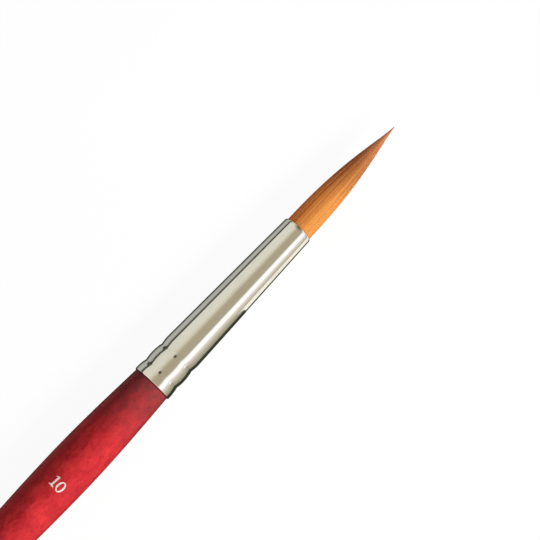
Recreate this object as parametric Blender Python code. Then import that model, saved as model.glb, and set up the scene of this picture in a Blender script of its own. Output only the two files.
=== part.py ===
"""A round watercolour brush: a turned wooden handle, a crimped ferrule and a pointed tuft of filaments.

Units are metres and +Z is up. The brush lies on its side along +X, with its point towards +X and the widest
part of the handle touching z = 0. Each piece is modelled upright, its own Z running along the brush from the
butt of the handle, and one parent empty lays all of them down together.
"""

import math

import bmesh
import bpy
import numpy as np

MM = 0.001

# Handle, turned in wood and lacquered
HANDLE_LENGTH = 132.0 * MM  # from the butt to the lower edge of the ferrule
BELLY_DIAMETER = 10.3 * MM
BELLY_FROM_FERRULE = 23.5 * MM
TAPER_DIAMETER = 6.6 * MM  # half way down the long taper behind the belly
TAPER_FROM_BELLY = 50.0 * MM
BUTT_DIAMETER = 4.6 * MM  # where the rounded end begins
BUTT_DOME = 2.2 * MM
BUTT_FLAT_DIAMETER = 1.6 * MM  # left by the parting tool
LACQUER = 0.02 * MM  # the coat stops at the ferrule, and its thickness makes a slight shoulder there
NECK_SLOPE = -0.056  # slopes of the handle's outline: growth of the radius per length towards the ferrule
TAPER_SLOPE = 0.038
TAIL_SLOPE = 0.012

# Ferrule, a seamless cone of plated brass
FERRULE_LENGTH = 44.05 * MM
FERRULE_BASE_DIAMETER = 9.2 * MM
FERRULE_MOUTH_DIAMETER = 6.8 * MM
FERRULE_WALL = 0.28 * MM
MOUTH_TURN = 0.6 * MM  # length over which the mouth is turned in towards the hair
MOUTH_LIP = 0.08 * MM  # flat left on the turned edge

# Double crimp that locks the ferrule on the tenon, pressed by a ring of jaws
CRIMP_PLACES = (2.85 * MM, 7.35 * MM)  # from the lower edge of the ferrule
CRIMP_DEPTH = 0.25 * MM
CRIMP_HALF_WIDTH = 1.75 * MM
CRIMP_SHARPNESS = 1.4  # 1 is a plain V; more rounds its shoulders
CRIMP_JAWS = 8
CRIMP_LAND = 0.6  # share of the depth that is pressed between two jaws

# Hair: tapered filaments, glued and bound at the root
TUFT_LENGTH = 29.85 * MM  # from the mouth of the ferrule to the point
ROOT_LENGTH = 14.0 * MM  # inside the ferrule
POINT_POWER = 2.45  # at a share u of its length the tuft's width is (1 - u ** POWER) ** SHARPNESS
POINT_SHARPNESS = 1.28
STRAND_RINGS = 10  # six more strands in each ring than in the last
STRAND_FILL = 0.54  # half size of a strand, as a share of the step from ring to ring
STRAND_SIDES = 3
STRAND_EDGE = 0.04 * MM  # from the outermost strands to the rim of the root
FIRST_END = 0.5  # share of the tuft's length where its outermost strands end
STAGGER = (math.sqrt(5) - 1) / 2  # golden step that spreads the ends of one ring's strands evenly
TIP_TAPER = 2.5  # more keeps a strand thick for longer
STRAND_LEVELS = (0.0, 0.32, 0.62, 0.84, 0.95, 1.0)  # shares of the length where strands may bend

# Binding thread and glue, inside the ferrule
THREAD_DIAMETER = 0.36 * MM
THREAD_TURNS = 4
THREAD_GAP = 0.45 * MM  # between one turn and the next
BINDING_FROM_BUTT = 4.5 * MM  # from the cut end of the hair to the first turn
PLUG_THICKNESS = 3.0 * MM  # resin behind the cut end of the hair
PLUG_MENISCUS = 0.8 * MM  # how far the resin climbs the ferrule's wall
AIR_SPACE = 4.0 * MM  # between the resin and the glue on the tenon
BEAD_HEIGHT = 1.6 * MM  # glue pushed ahead of the tenon
BEAD_WIDTH = 1.4 * MM
BEAD_EDGE = 0.1 * MM  # thickness of the bead's thin edges
TENON_CHAMFER = 0.3 * MM

# Fit
CLEARANCE = 0.05 * MM  # between any two pieces that touch on the real brush

# Fineness of the meshes
SIDES_PER_JAW = 4
SIDES = CRIMP_JAWS * SIDES_PER_JAW
DOME_STEPS = 4
MOUTH_STEPS = 3
BEAD_STEPS = 3
TAIL_STEPS = 6
TAPER_STEPS = 9
NECK_STEPS = 7
CRIMP_STEPS = (-1.0, -0.55, -0.25, 0.0, 0.25, 0.55, 1.0)
THREAD_POINTS = 24  # to each turn
MERGE = 0.001 * MM
SMOOTH_ANGLE = math.radians(35)

# Places along the brush, from the butt
FERRULE_BASE = HANDLE_LENGTH
FERRULE_MOUTH = FERRULE_BASE + FERRULE_LENGTH
POINT = FERRULE_MOUTH + TUFT_LENGTH
HAIR_BUTT = FERRULE_MOUTH - ROOT_LENGTH
PLUG_BACK = HAIR_BUTT - CLEARANCE - PLUG_THICKNESS
BEAD_FRONT = PLUG_BACK - PLUG_MENISCUS - AIR_SPACE
TENON_END = BEAD_FRONT - BEAD_HEIGHT - CLEARANCE
THREAD_PITCH = THREAD_DIAMETER + THREAD_GAP
BINDING_START = HAIR_BUTT + BINDING_FROM_BUTT
BINDING_END = BINDING_START + THREAD_TURNS * THREAD_PITCH
BINDING_MARGIN = THREAD_DIAMETER / 2 + CLEARANCE
AXIS_HEIGHT = BELLY_DIAMETER / 2 * math.cos(math.pi / SIDES)


def cone_radius(along):
    """Outer radius of the ferrule's cone, before crimping, at a place along the brush."""
    share = (along - FERRULE_BASE) / FERRULE_LENGTH
    return (FERRULE_BASE_DIAMETER + share * (FERRULE_MOUTH_DIAMETER - FERRULE_BASE_DIAMETER)) / 2


def bore_radius(along):
    """Inner radius of the ferrule, before crimping."""
    return cone_radius(along) - FERRULE_WALL


def crimp_depth(along):
    """How deep the jaws press at a place along the brush."""
    depth = 0.0
    for place in CRIMP_PLACES:
        away = abs(along - FERRULE_BASE - place) / CRIMP_HALF_WIDTH
        depth += CRIMP_DEPTH * max(0.0, 1.0 - away) ** CRIMP_SHARPNESS
    return depth


def crimp_stations():
    """Places along the brush where the crimped outlines bend."""
    return [
        FERRULE_BASE + place + step * CRIMP_HALF_WIDTH
        for place in CRIMP_PLACES
        for step in CRIMP_STEPS
    ]


def quarter(start, end, steps):
    """Points of a quarter ellipse that leaves start along the radius and reaches end along the brush."""
    points = []
    for step in range(steps + 1):
        angle = math.pi / 2 * step / steps
        radius = start[0] + (end[0] - start[0]) * math.sin(angle)
        points.append((radius, start[1] + (end[1] - start[1]) * (1.0 - math.cos(angle))))
    return points


def flowing(start, end, steps):
    """Points of a cubic between two (radius, place, slope) stations, without the first."""
    (r0, z0, s0), (r1, z1, s1) = start, end
    span = z1 - z0
    points = []
    for step in range(1, steps + 1):
        t = step / steps
        radius = (2 * t**3 - 3 * t**2 + 1) * r0 + (3 * t**2 - 2 * t**3) * r1
        radius += ((t**3 - 2 * t**2 + t) * s0 + (t**3 - t**2) * s1) * span
        points.append((radius, z0 + t * span))
    return points


def spun(outline, closed):
    """A bmesh turned from (radius, place) points; an open outline starts, and may end, on the axis."""
    mesh = bmesh.new()
    first = math.pi / SIDES
    ring = [mesh.verts.new((r * math.cos(first), r * math.sin(first), z)) for r, z in outline]
    edges = [mesh.edges.new(pair) for pair in zip(ring, ring[1:])]
    if closed:
        edges.append(mesh.edges.new((ring[-1], ring[0])))
    bmesh.ops.spin(
        mesh,
        geom=ring + edges,
        axis=(0, 0, 1),
        cent=(0, 0, 0),
        angle=math.tau,
        steps=SIDES,
        use_merge=True,
    )
    bmesh.ops.remove_doubles(mesh, verts=mesh.verts, dist=MERGE)
    bmesh.ops.recalc_face_normals(mesh, faces=mesh.faces)
    return mesh


def finish(name, color, metallic, roughness):
    """A Principled material with one colour."""
    material = bpy.data.materials.new(name)
    material.use_nodes = True
    shader = material.node_tree.nodes["Principled BSDF"]
    shader.inputs["Base Color"].default_value = (*color, 1.0)
    shader.inputs["Metallic"].default_value = metallic
    shader.inputs["Roughness"].default_value = roughness
    return material


def placed(name, data, material, axis):
    """An object on the brush's axis, with its material."""
    obj = bpy.data.objects.new(name, data)
    data.materials.append(material)
    obj.parent = axis
    bpy.context.scene.collection.objects.link(obj)
    return obj


def turned_part(name, mesh, material, axis):
    """An object made from a bmesh, shaded smooth but for its sharp edges."""
    data = bpy.data.meshes.new(name)
    mesh.to_mesh(data)
    mesh.free()
    data.shade_smooth()
    data.set_sharp_from_angle(angle=SMOOTH_ANGLE)
    return placed(name, data, material, axis)


def tenon_radius(along):
    """The tenon fills the crimped ferrule, less the clearance."""
    return bore_radius(along) - crimp_depth(along) - CLEARANCE


def handle(axis):
    """Belly, long taper and rounded butt, with a tapered tenon that the crimps press into."""
    belly = FERRULE_BASE - BELLY_FROM_FERRULE
    shoulder = FERRULE_BASE - CLEARANCE
    tail = (BUTT_DIAMETER / 2, BUTT_DOME, TAIL_SLOPE)
    taper = (TAPER_DIAMETER / 2, belly - TAPER_FROM_BELLY, TAPER_SLOPE)
    widest = (BELLY_DIAMETER / 2, belly, 0.0)
    neck = (tenon_radius(shoulder) + LACQUER, shoulder, NECK_SLOPE)
    outline = [(0.0, 0.0)]
    outline += quarter((BUTT_FLAT_DIAMETER / 2, 0.0), tail[:2], DOME_STEPS)
    outline += flowing(tail, taper, TAIL_STEPS)
    outline += flowing(taper, widest, TAPER_STEPS)
    outline += flowing(widest, neck, NECK_STEPS)
    outline += [(tenon_radius(z), z) for z in [shoulder] + crimp_stations()]
    outline.append((tenon_radius(TENON_END - TENON_CHAMFER), TENON_END - TENON_CHAMFER))
    outline.append((tenon_radius(TENON_END) - TENON_CHAMFER, TENON_END))
    outline.append((0.0, TENON_END))
    red = finish("red_lacquer", (0.45, 0.025, 0.03), 0.0, 0.55)
    return turned_part("handle", spun(outline, closed=False), red, axis)


def press_crimps(mesh):
    """Moves the ferrule's wall in under the jaws, and less far at the lands between them."""
    for vert in mesh.verts:
        depth = crimp_depth(vert.co.z)
        if depth == 0.0:
            continue
        turn = math.atan2(vert.co.y, vert.co.x) / math.tau * SIDES - 0.5
        if round(turn) % SIDES_PER_JAW == 0:
            depth *= CRIMP_LAND
        radius = math.hypot(vert.co.x, vert.co.y)
        vert.co.x *= (radius - depth) / radius
        vert.co.y *= (radius - depth) / radius


def ferrule(axis):
    """A thin cone with a turned-in mouth and two rings of crimps."""
    turn = FERRULE_MOUTH - MOUTH_TURN
    straight = [FERRULE_BASE] + crimp_stations()
    lip = bore_radius(FERRULE_MOUTH) + MOUTH_LIP
    rounded = quarter((lip, FERRULE_MOUTH), (cone_radius(turn), turn), MOUTH_STEPS)
    outline = [(cone_radius(z), z) for z in straight]
    outline += reversed(rounded)
    outline += [(bore_radius(z), z) for z in [FERRULE_MOUTH] + straight[::-1]]
    mesh = spun(outline, closed=True)
    press_crimps(mesh)
    nickel = finish("nickel_plate", (0.78, 0.75, 0.68), 1.0, 0.15)
    return turned_part("ferrule", mesh, nickel, axis)


def root_radius():
    """The hair fills the mouth of the ferrule, less the clearance."""
    return bore_radius(FERRULE_MOUTH) - CLEARANCE


def thread_radius():
    """Radius of the thread's middle line: its turns lie against the ferrule, less the clearance."""
    return bore_radius(BINDING_END + BINDING_MARGIN) - CLEARANCE - THREAD_DIAMETER / 2


def tuft_width(share):
    """Width of the tuft at a share of its length, as a share of its width at the mouth."""
    return max(0.0, 1.0 - share**POINT_POWER) ** POINT_SHARPNESS


def drawn_in(share):
    """How far the strands have drawn in towards the axis at a share of the tuft's length."""
    if share <= FIRST_END:
        return tuft_width(share)
    return math.sqrt(tuft_width(share) * tuft_width(FIRST_END))


def strand_end(out):
    """Share of the length where a strand ends on the tuft's outline, from its share of the way out."""
    width = tuft_width(FIRST_END) * out**2
    return (1.0 - width ** (1.0 / POINT_SHARPNESS)) ** (1.0 / POINT_POWER)


def ring_step():
    """Step from one ring of strands to the next, at the root."""
    return (root_radius() - STRAND_EDGE) / (STRAND_RINGS + STRAND_FILL / 2)


def strand_places():
    """Radius, angle and end of each strand: one in the middle, then rings of 6, 12, 18 and so on."""
    places = [(0.0, 0.0, 1.0)]
    for ring in range(1, STRAND_RINGS + 1):
        count = 6 * ring
        for turn in range(count):
            angle = math.tau * (turn + ring % 2 / 2) / count
            stagger = turn * STAGGER % 1.0 - 0.5
            end = strand_end((ring + stagger) * ring_step() / root_radius())
            places.append((ring * ring_step(), angle, end))
    return places


def strand_section(mesh, radius, angle, share, size):
    """The corners of a strand's section at a share of the tuft's length, drawn in towards the axis."""
    scale = drawn_in(share)
    along = FERRULE_MOUTH + share * TUFT_LENGTH
    corners = []
    for side in range(STRAND_SIDES):
        turned = angle + math.tau * (side + 0.5) / STRAND_SIDES
        x = radius * math.cos(angle) + size * math.cos(turned)
        y = radius * math.sin(angle) + size * math.sin(turned)
        corners.append(mesh.verts.new((x * scale, y * scale, along)))
    return corners


def grow_strand(mesh, radius, angle, end):
    """One tapered strand, open at the root; every strand bends at the same levels, so none can cross."""
    half_size = STRAND_FILL * ring_step()
    sections = [
        strand_section(mesh, radius, angle, level, half_size * (1.0 - (level / end) ** TIP_TAPER))
        for level in STRAND_LEVELS
        if level < end
    ]
    out = radius * np.interp(end, STRAND_LEVELS, [drawn_in(level) for level in STRAND_LEVELS])
    along = FERRULE_MOUTH + end * TUFT_LENGTH
    tip = mesh.verts.new((out * math.cos(angle), out * math.sin(angle), along))
    for side in range(STRAND_SIDES):
        after = (side + 1) % STRAND_SIDES
        for low, high in zip(sections, sections[1:]):
            mesh.faces.new((low[side], low[after], high[after], high[side]))
        mesh.faces.new((sections[-1][side], sections[-1][after], tip))


def hair_tuft(axis):
    """The bound root inside the ferrule, with the strands growing out of its top as one body."""
    radius = root_radius()
    waist = thread_radius() - THREAD_DIAMETER / 2 - CLEARANCE
    outline = [
        (0.0, HAIR_BUTT),
        (radius, HAIR_BUTT),
        (radius, BINDING_START - BINDING_MARGIN),
        (waist, BINDING_START - BINDING_MARGIN + CLEARANCE),
        (waist, BINDING_END + BINDING_MARGIN - CLEARANCE),
        (radius, BINDING_END + BINDING_MARGIN),
        (radius, FERRULE_MOUTH),
    ]
    mesh = spun(outline, closed=False)
    for strand in strand_places():
        grow_strand(mesh, *strand)
    open_edges = [edge for edge in mesh.edges if edge.is_boundary]
    bmesh.ops.triangle_fill(mesh, edges=open_edges, use_beauty=True)
    bmesh.ops.recalc_face_normals(mesh, faces=mesh.faces)
    amber = finish("amber_filament", (0.55, 0.23, 0.07), 0.0, 0.4)
    return turned_part("hair_tuft", mesh, amber, axis)


def helix_points():
    """Points along the middle of the binding thread."""
    radius = thread_radius()
    points = []
    for step in range(THREAD_TURNS * THREAD_POINTS + 1):
        turn = step / THREAD_POINTS
        angle = math.tau * turn
        along = BINDING_START + THREAD_PITCH * turn
        points.append((radius * math.cos(angle), radius * math.sin(angle), along))
    return points


def least_gap(points):
    """Least distance between surfaces of the thread that lie half a turn or more apart."""
    middle = np.array(points)
    apart = np.linalg.norm(middle[:, None] - middle[None, :], axis=2)
    order = np.arange(len(middle))
    far = abs(order[:, None] - order[None, :]) >= THREAD_POINTS // 2
    return apart[far].min() - THREAD_DIAMETER


def binding_thread(axis):
    """One unbroken thread wound round the root of the hair."""
    points = helix_points()
    print(f"binding_thread: least gap to itself {least_gap(points) / MM:.3f} mm")
    curve = bpy.data.curves.new("binding_thread", "CURVE")
    curve.dimensions = "3D"
    curve.bevel_depth = THREAD_DIAMETER / 2
    curve.bevel_resolution = 1
    curve.use_fill_caps = True
    spline = curve.splines.new("POLY")
    spline.points.add(len(points) - 1)
    for point, place in zip(spline.points, points):
        point.co = (*place, 1.0)
    linen = finish("linen_thread", (0.7, 0.64, 0.5), 0.0, 0.9)
    return placed("binding_thread", curve, linen, axis)


def root_adhesive(axis):
    """A cup of resin behind the hair, reaching up round its root as far as the binding."""
    edge = BINDING_START - BINDING_MARGIN - CLEARANCE
    wall = PLUG_BACK - PLUG_MENISCUS
    inside = root_radius() + CLEARANCE
    outline = [(0.0, PLUG_BACK)]
    outline += quarter((0.0, PLUG_BACK), (bore_radius(wall) - CLEARANCE, wall), BEAD_STEPS)[1:]
    outline += [(bore_radius(edge) - CLEARANCE, edge), (inside, edge)]
    outline += [(inside, HAIR_BUTT - CLEARANCE), (0.0, HAIR_BUTT - CLEARANCE)]
    resin = finish("cured_resin", (0.62, 0.42, 0.12), 0.0, 0.2)
    return turned_part("root_adhesive", spun(outline, closed=False), resin, axis)


def tenon_glue(axis):
    """A ring of glue in the corner between the end of the tenon and the ferrule."""
    back = TENON_END + CLEARANCE
    front = back + BEAD_HEIGHT
    inside = bore_radius(back) - CLEARANCE - BEAD_WIDTH
    outside = bore_radius(front) - CLEARANCE
    hollow = quarter((inside, back + BEAD_EDGE), (outside - BEAD_EDGE, front), BEAD_STEPS)
    outline = [(inside, back), (bore_radius(back) - CLEARANCE, back), (outside, front)]
    outline += reversed(hollow)
    wood_glue = finish("wood_glue", (0.72, 0.66, 0.45), 0.0, 0.4)
    return turned_part("tenon_glue", spun(outline, closed=True), wood_glue, axis)


def main():
    for obj in list(bpy.data.objects):
        bpy.data.objects.remove(obj)
    axis = bpy.data.objects.new("brush_axis", None)
    axis.location = (-POINT / 2, 0.0, AXIS_HEIGHT)
    axis.rotation_euler = (0.0, math.pi / 2, 0.0)
    bpy.context.scene.collection.objects.link(axis)
    for part in (handle, ferrule, hair_tuft, binding_thread, root_adhesive, tenon_glue):
        part(axis)


main()
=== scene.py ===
"""Looks of a round watercolour brush, laid out as an add-on and run as a script.

Units are metres and +Z is up. The brush points along +X, as in the packed frame. Each piece is turned
upright, its own Z running from the butt of the handle to the point of the hair, and is then laid down along
the frame's X axis. A turn round the brush is 0 on top and grows towards -Y.
"""

import math
import random
from collections import namedtuple

import bmesh
import bpy
from bpy.props import FloatProperty, FloatVectorProperty, IntProperty, PointerProperty
from mathutils import Matrix, Vector


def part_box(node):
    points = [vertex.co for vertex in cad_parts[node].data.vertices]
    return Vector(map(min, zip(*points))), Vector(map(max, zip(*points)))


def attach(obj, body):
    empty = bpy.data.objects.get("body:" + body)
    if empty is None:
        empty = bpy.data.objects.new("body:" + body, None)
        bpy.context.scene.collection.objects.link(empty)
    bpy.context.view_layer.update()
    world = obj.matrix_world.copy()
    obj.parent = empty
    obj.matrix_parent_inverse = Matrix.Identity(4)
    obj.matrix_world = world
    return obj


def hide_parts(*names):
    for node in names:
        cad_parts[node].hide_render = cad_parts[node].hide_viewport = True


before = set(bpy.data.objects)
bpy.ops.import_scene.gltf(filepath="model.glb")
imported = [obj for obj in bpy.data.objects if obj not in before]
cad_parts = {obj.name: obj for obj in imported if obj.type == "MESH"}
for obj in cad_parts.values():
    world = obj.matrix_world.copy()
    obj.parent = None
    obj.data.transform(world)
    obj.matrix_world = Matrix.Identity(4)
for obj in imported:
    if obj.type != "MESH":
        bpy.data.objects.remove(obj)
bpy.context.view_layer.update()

bl_info = {
    "name": "Round Watercolour Brush",
    "version": (1, 0, 0),
    "blender": (4, 5, 0),
    "location": "View3D > Sidebar > Brush",
    "description": "Dresses the brush's solids with fine meshes and finishes in a small studio",
    "category": "Object",
}

MM = 0.001

# What the frame says
CAD_SIDES = 32  # the solids are turned with this many sides, their flats against the box
ROUND = 1.0 / math.cos(math.pi / CAD_SIDES)  # from the width over flats to the diameter
HANDLE_LOW, HANDLE_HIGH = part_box("handle")
FERRULE_LOW, FERRULE_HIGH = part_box("ferrule")
TUFT_LOW, TUFT_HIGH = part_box("hair_tuft")
BUTT_X = HANDLE_LOW.x
AXIS_Z = (HANDLE_LOW.z + HANDLE_HIGH.z) / 2
BASE = FERRULE_LOW.x - BUTT_X  # places along the brush, from the butt
MOUTH = FERRULE_HIGH.x - BUTT_X
POINT = TUFT_HIGH.x - BUTT_X
HAIR_BUTT = TUFT_LOW.x - BUTT_X
TENON_END = HANDLE_HIGH.x - BUTT_X
BASE_X = BUTT_X + BASE  # places along the frame's X axis
MOUTH_X = BUTT_X + MOUTH
BELLY_DIAMETER = (HANDLE_HIGH.y - HANDLE_LOW.y) * ROUND
BASE_DIAMETER = (FERRULE_HIGH.y - FERRULE_LOW.y) * ROUND
ROOT_RADIUS = (TUFT_HIGH.y - TUFT_LOW.y) / 2 * ROUND
LAY_DOWN = Matrix(((0, 0, 1, BUTT_X), (0, -1, 0, 0), (1, 0, 0, AXIS_Z), (0, 0, 0, 1)))

# Fineness of the meshes
HANDLE_SIDES = 128
FERRULE_SIDES = 288
DOME_STEPS = 12
HANDLE_STEP = 1.2 * MM
CRIMP_STEP = 0.1 * MM
WALL_STEP = 3 * MM
BORE_STEP = 0.3 * MM
MOUTH_STEPS = 8
FILAMENT_SIDES = 4
FILAMENT_LEVELS = 13
ROOT_STEPS = 24
DIGIT_CUT = 0.12 * MM
ZERO_SIDES = 48
MERGE = 0.001 * MM
SHARP = math.radians(40)  # edges that bend further are not shaded smooth

GOLDEN_ANGLE = math.pi * (3.0 - math.sqrt(5.0))
HAIR_SEED = 10
PIP_SEED = 12899
WHITE = (1.0, 1.0, 1.0, 1.0)


def setting(kind, **choices):
    """A maker of properties of one kind, each from its description and default."""

    def make(description, default):
        return kind(description=description, default=default, **choices)

    return make


length = setting(FloatProperty, unit="LENGTH", subtype="DISTANCE", precision=5)
share = setting(FloatProperty, min=0.0, max=1.0, subtype="FACTOR")
number = setting(FloatProperty, precision=4)
radians = setting(FloatProperty, unit="ROTATION", subtype="ANGLE")
count = setting(IntProperty, min=1)
colour = setting(FloatVectorProperty, size=3, min=0.0, soft_max=1.0, subtype="COLOR")


def angle(description, degrees):
    """A property for an angle that is given in degrees."""
    return radians(description, math.radians(degrees))


class HandleSettings(bpy.types.PropertyGroup):
    """Sizes and colours of the turned and lacquered handle"""

    belly_diameter: length("Widest part of the handle", BELLY_DIAMETER)
    belly_from_ferrule: length("From the ferrule back to the belly", 23.5 * MM)
    taper_diameter: length("Half way down the long taper", 6.6 * MM)
    taper_from_belly: length("From the belly back to the taper's middle", 50 * MM)
    butt_diameter: length("Where the rounded end begins", 4.6 * MM)
    butt_dome: length("Length of the rounded end", 2.2 * MM)
    butt_flat: length("Diameter of the flat end", 1.6 * MM)
    lacquer: length("Thickness of the coat", 0.02 * MM)
    neck_slope: number("Growth of the radius at the ferrule", -0.056)
    taper_slope: number("Growth of the radius half way down the taper", 0.038)
    tail_slope: number("Growth of the radius at the rounded end", 0.012)
    bright: colour("Lacquer where it lies thin", (0.84, 0.048, 0.051))
    deep: colour("Lacquer where it lies thick", (0.49, 0.021, 0.032))
    # Painted shade: this darker red lies on the side turned from the key light and stands in for shade
    # there; the mottles break it up.
    thick: colour("Lacquer that has run together on one side", (0.25, 0.002, 0.003))
    lacquer_shade_turn: angle("Turn of that side's middle", -18.0)
    lacquer_shade_half_turn: angle("How far round that side reaches", 26.0)
    # Painted shade: this duller red towards the ferrule stands in for the key light falling off along the
    # neck.
    dusky: colour("Lacquer dulled by wear beside the ferrule", (0.185, 0.052, 0.053))
    # Painted shade: this dark line in the corner at the ferrule stands in for the shade in the gap there.
    grime: colour("Dirt in the corner at the ferrule", (0.09, 0.024, 0.018))
    neck_shade_length: length("Reach of the dulled lacquer", 15 * MM)
    grime_width: length("Reach of the grime", 0.38 * MM)


class FerruleSettings(bpy.types.PropertyGroup):
    """Sizes and colours of the crimped metal ferrule"""

    base_diameter: length("Outside, at the handle", BASE_DIAMETER)
    mouth_diameter: length("Outside, at the hair, before turning in", 6.8 * MM)
    wall: length("Thickness of the metal", 0.28 * MM)
    mouth_turn: length("Length of the turned-in mouth", 0.6 * MM)
    mouth_lip: length("Flat left on the turned edge", 0.08 * MM)
    edge_length: length("Length of the eased edge", 0.2 * MM)
    edge_drop: length("How far the eased edge is turned in", 0.08 * MM)
    first_crimp: length("From the edge at the handle", 2.85 * MM)
    second_crimp: length("From the edge at the handle", 7.35 * MM)
    crimp_depth: length("How deep the jaws press", 0.25 * MM)
    crimp_half_width: length("From a crimp's middle to its shoulder", 1.75 * MM)
    crimp_sharpness: number("1 is a plain V; more rounds the shoulders", 1.4)
    jaws: count("Number of jaws that press each crimp", 8)
    jaw_turn: angle("Turn of a gap between two jaws", -4.8)
    pip_offset: length("From a crimp's middle to its pips", -0.42 * MM)
    pip_height: length("Height of the metal between two jaws", 0.06 * MM)
    pip_half_width: length("Half a pip's width round the brush", 0.31 * MM)
    pip_half_length: length("Half a pip's length along the brush", 0.42 * MM)
    clearance: length("Gap between the ferrule and what is in it", 0.05 * MM)
    metal: colour("Warm nickel plate", (0.80, 0.78, 0.72))
    smudge: colour("Plate where it has been handled", (0.74, 0.71, 0.63))
    tarnish: colour("Plate in the pips, which no cloth reaches", (0.10, 0.086, 0.066))
    # Painted reflection: this pink on the eased edge stands in for the red handle reflected there.
    bare: colour("Copper alloy where the eased edge is worn", (0.94, 0.76, 0.66))
    # Painted shade and reflection: this brown at the turned mouth stands in for the hair reflected in it
    # and the shade where the hair meets it.
    stain: colour("Paint stain at the turned mouth", (0.30, 0.21, 0.13))
    stain_turn: angle("Turn of the stain's middle", -5.0)
    stain_half_turn: angle("How far round the stain reaches", 17.0)


class TuftSettings(bpy.types.PropertyGroup):
    """Sizes and colours of the hair"""

    filaments: count("Number of filaments", 1500)
    thickness: length("Diameter of a filament at the ferrule", 0.14 * MM)
    tip_thickness: length("Diameter of a filament at its end", 0.03 * MM)
    tip_taper: number("More keeps a filament thick for longer", 6.0)
    thinning: number("How closely the filaments thin with the tuft", 0.7)
    shell: share("How far out the innermost filaments lie", 0.84)
    root_reach: length("Reach of the filaments into the mouth", 1.5 * MM)
    point_power: number("Exponent on the length in the tuft's outline", 2.45)
    point_sharpness: number("Exponent on the tuft's outline", 1.28)
    end_spread: share("Share of the length over which filaments end", 0.3)
    wander: angle("How far a filament strays round the tuft", 0.8)
    lean: length("How far the point leans to the side", 0.2 * MM)
    point_width: length("Width of the point's bundle", 0.12 * MM)
    core_width: share("Packed middle's share of the tuft's width", 0.86)
    core_end: share("Share of the length where the packed middle ends", 0.9)
    clumps: count("Number of broad clumps round the tuft", 11)
    change: share("Share of the length where filaments turn darker", 0.43)
    change_spread: share("How far that share differs from clump to clump", 0.16)
    # Painted shade: the tuft is darkened round this turn, on its side turned from the key light.
    tuft_shade_turn: angle("Turn of the tuft's darker side", -100.0)
    root: colour("Filaments at the ferrule", (0.63, 0.258, 0.06))
    tip: colour("Filaments past the middle", (0.405, 0.15, 0.044))
    end: colour("The bleached ends at the point", (0.50, 0.19, 0.085))
    shade: colour("The darkest filaments at the ferrule", (0.43, 0.062, 0.003))
    tip_shade: colour("The darkest filaments past the middle", (0.23, 0.03, 0.005))
    binding_place: length("From the hair's cut end to the waist", 4.27 * MM)
    binding_length: length("Length of the waist", 3.7 * MM)
    binding_depth: length("Depth of the waist", 0.24 * MM)


class NumberSettings(bpy.types.PropertyGroup):
    """Sizes and colour of the foil size number"""

    from_ferrule: length("From the ferrule to the number's middle", 27.85 * MM)
    turn: angle("Turn of the number's middle", 4.4)
    askew: angle("How far from square the number is pressed", -5.6)
    height: length("Height of a digit", 2.46 * MM)
    gap: length("Between the two digits", 0.16 * MM)
    zero_width: length("Width of the zero", 1.70 * MM)
    zero_side: length("Thickness of the zero's sides", 0.39 * MM)
    zero_end: length("Thickness of the zero's top and bottom", 0.23 * MM)
    one_width: length("Width of the foot of the one", 1.20 * MM)
    stem: length("Thickness of the stem of the one", 0.38 * MM)
    serif: length("Thickness of the foot of the one", 0.25 * MM)
    flag: length("Length of the flag of the one", 0.41 * MM)
    thickness: length("How far the foil stands proud", 0.02 * MM)
    sunk: length("Depth of the foil in the lacquer", 0.02 * MM)
    foil: colour("Pressed silver foil", (0.67, 0.58, 0.52))
    worn: colour("Foil where it is rubbed thin", (0.52, 0.38, 0.34))


class StudioSettings(bpy.types.PropertyGroup):
    """Camera, lights and floor"""

    tilt: angle("Lean of the view towards the handle", 9.2)
    roll: angle("Slope of the brush in the picture", 46.5)
    aim_from_mouth: length("From the ferrule's mouth back to the aim", 10.22 * MM)
    aim_aside: length("From the brush's axis to the aim, towards -Y", 1.53 * MM)
    view_width: length("Width of the picture at the brush", 111.3 * MM)
    lens: number("Focal length in millimetres", 145.6)
    key_angle: angle("Slope of the key light from straight up", 49.0)
    key_width: angle("Width of the key light from the brush", 19.0)
    key_distance: length("From the brush to the key light", 0.5)
    key_length: length("Length of the key light along the brush", 0.9)
    key_along: length("Middle of the key light along X", 0.10)
    key_radiance: number("Brightness of the key light", 10.5)
    fill: number("Brightness of the even light", 0.33)
    card_angle: angle("Slope of the hair's card from straight up", -62.0)
    card_size: length("Width and length of the bounce card", 0.05)
    card_from_mouth: length("From the ferrule's mouth to the card", 0.008)
    card_distance: length("From the hair to the bounce card", 0.06)
    card_radiance: number("Brightness of the bounce card", 0.40)
    floor: colour("The pale floor", (0.80, 0.80, 0.80))
    shadow: share("Strength of the brush's shadow", 0.06)
    white_card: colour("Glow of the card past the mat's end", (1.12, 1.09, 1.02))
    mat_end: length("End of the dark mat along the frame's X axis", 0.0532)
    mat_slant: number("Slant of that end, X over -Y", 0.135)


# Outlines


def quarter(start, end, steps):
    """Points of a quarter ellipse, from start along the radius to end along the brush."""
    points = []
    for step in range(steps + 1):
        turn = math.pi / 2 * step / steps
        radius = start[0] + (end[0] - start[0]) * math.sin(turn)
        points.append((radius, start[1] + (end[1] - start[1]) * (1.0 - math.cos(turn))))
    return points


def evenly(low, high, step):
    """Places from low to high, no further apart than a step."""
    steps = max(1, math.ceil((high - low) / step))
    return [low + (high - low) * n / steps for n in range(steps + 1)]


def cone_radius(ferrule, place):
    """Outer radius of the ferrule's cone, before crimping."""
    grown = (place - BASE) / (MOUTH - BASE)
    return (ferrule.base_diameter + grown * (ferrule.mouth_diameter - ferrule.base_diameter)) / 2


def bore_radius(ferrule, place):
    """Inner radius of the ferrule, before crimping."""
    return cone_radius(ferrule, place) - ferrule.wall


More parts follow.
